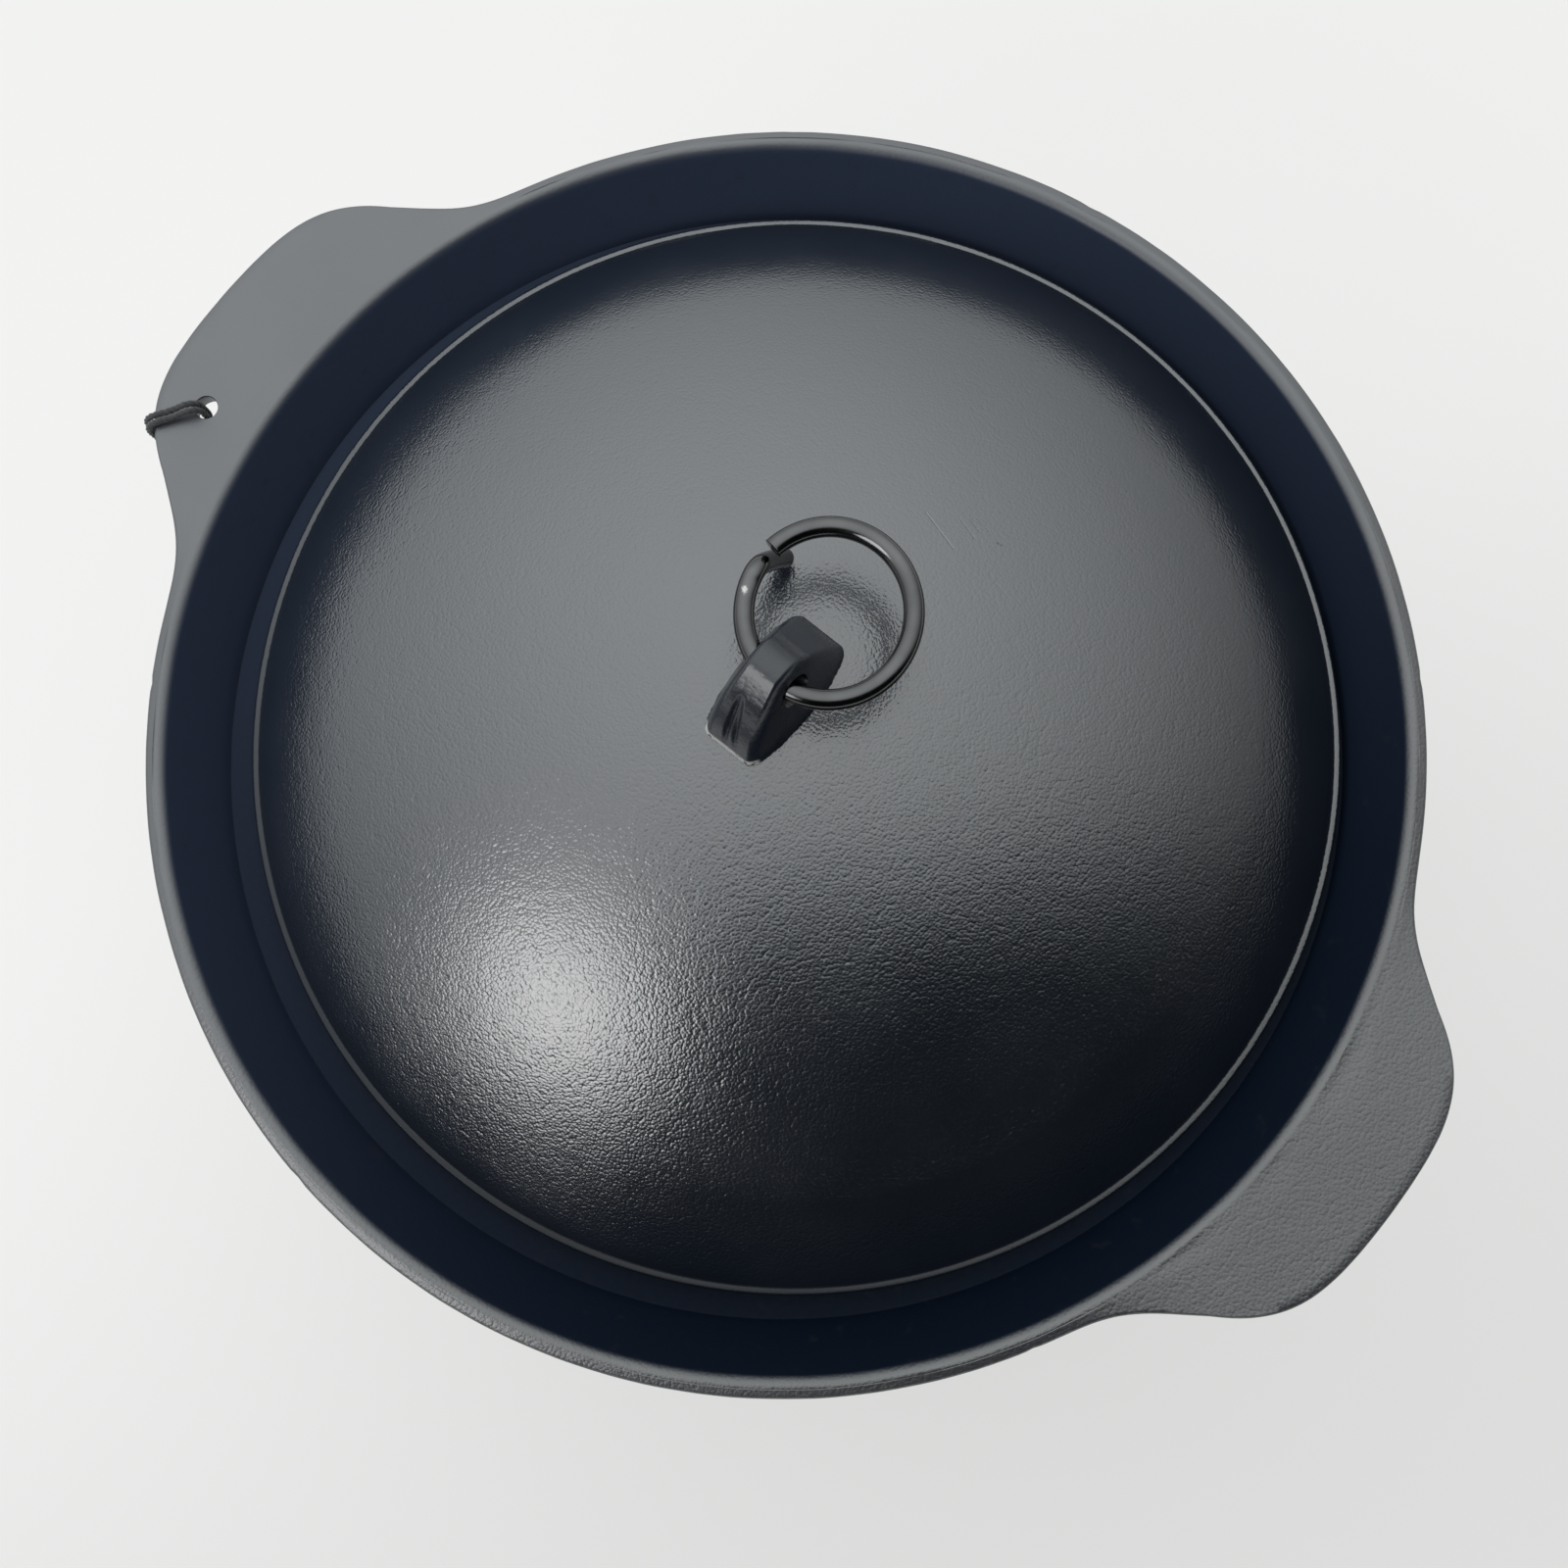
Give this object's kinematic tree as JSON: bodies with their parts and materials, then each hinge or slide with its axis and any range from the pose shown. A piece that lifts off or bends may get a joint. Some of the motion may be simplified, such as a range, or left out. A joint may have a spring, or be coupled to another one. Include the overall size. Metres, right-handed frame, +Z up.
{
  "type": "cast iron rice pot",
  "caption": "Round cast iron rice pot with a flared collar, flat side handles, a domed drop-in lid with a lug and lifting ring, and a cord on one handle.",
  "frame": {"origin": "on the table under the middle of the pot's rim", "axes": "+X along the line through both handles, towards the handle without a hole; +Y towards the side that the ring lies on; +Z up"},
  "size_m": [0.2698, 0.2314, 0.151],
  "materials": {
    "lacquered_iron": "satin black lacquer over a fine pebbled cast skin",
    "smooth_iron": "smooth satin black lacquer",
    "dark_wire": "glossy gunmetal plating",
    "black_cord": "matt black twisted cord"
  },
  "bodies": {
    "pot": {"pot_body": "lacquered_iron", "cord_left": "black_cord", "cord_right": "black_cord", "cord_knot": "black_cord"},
    "lid": {"lid": "lacquered_iron", "lid_lug": "smooth_iron"},
    "ring": {"lid_ring": "dark_wire"}
  },
  "joints": [
    {"name": "lid_lift", "type": "slide", "parent": "pot", "child": "lid", "axis": [0, 0, 1], "range_m": [0, 0.12]},
    {"name": "ring_swing", "type": "hinge", "parent": "lid", "child": "ring", "pos_m": [-0.0012, 0.00253, 0.1451], "axis": [1, 0, 0], "range_deg": [0, 202]}
  ]
}
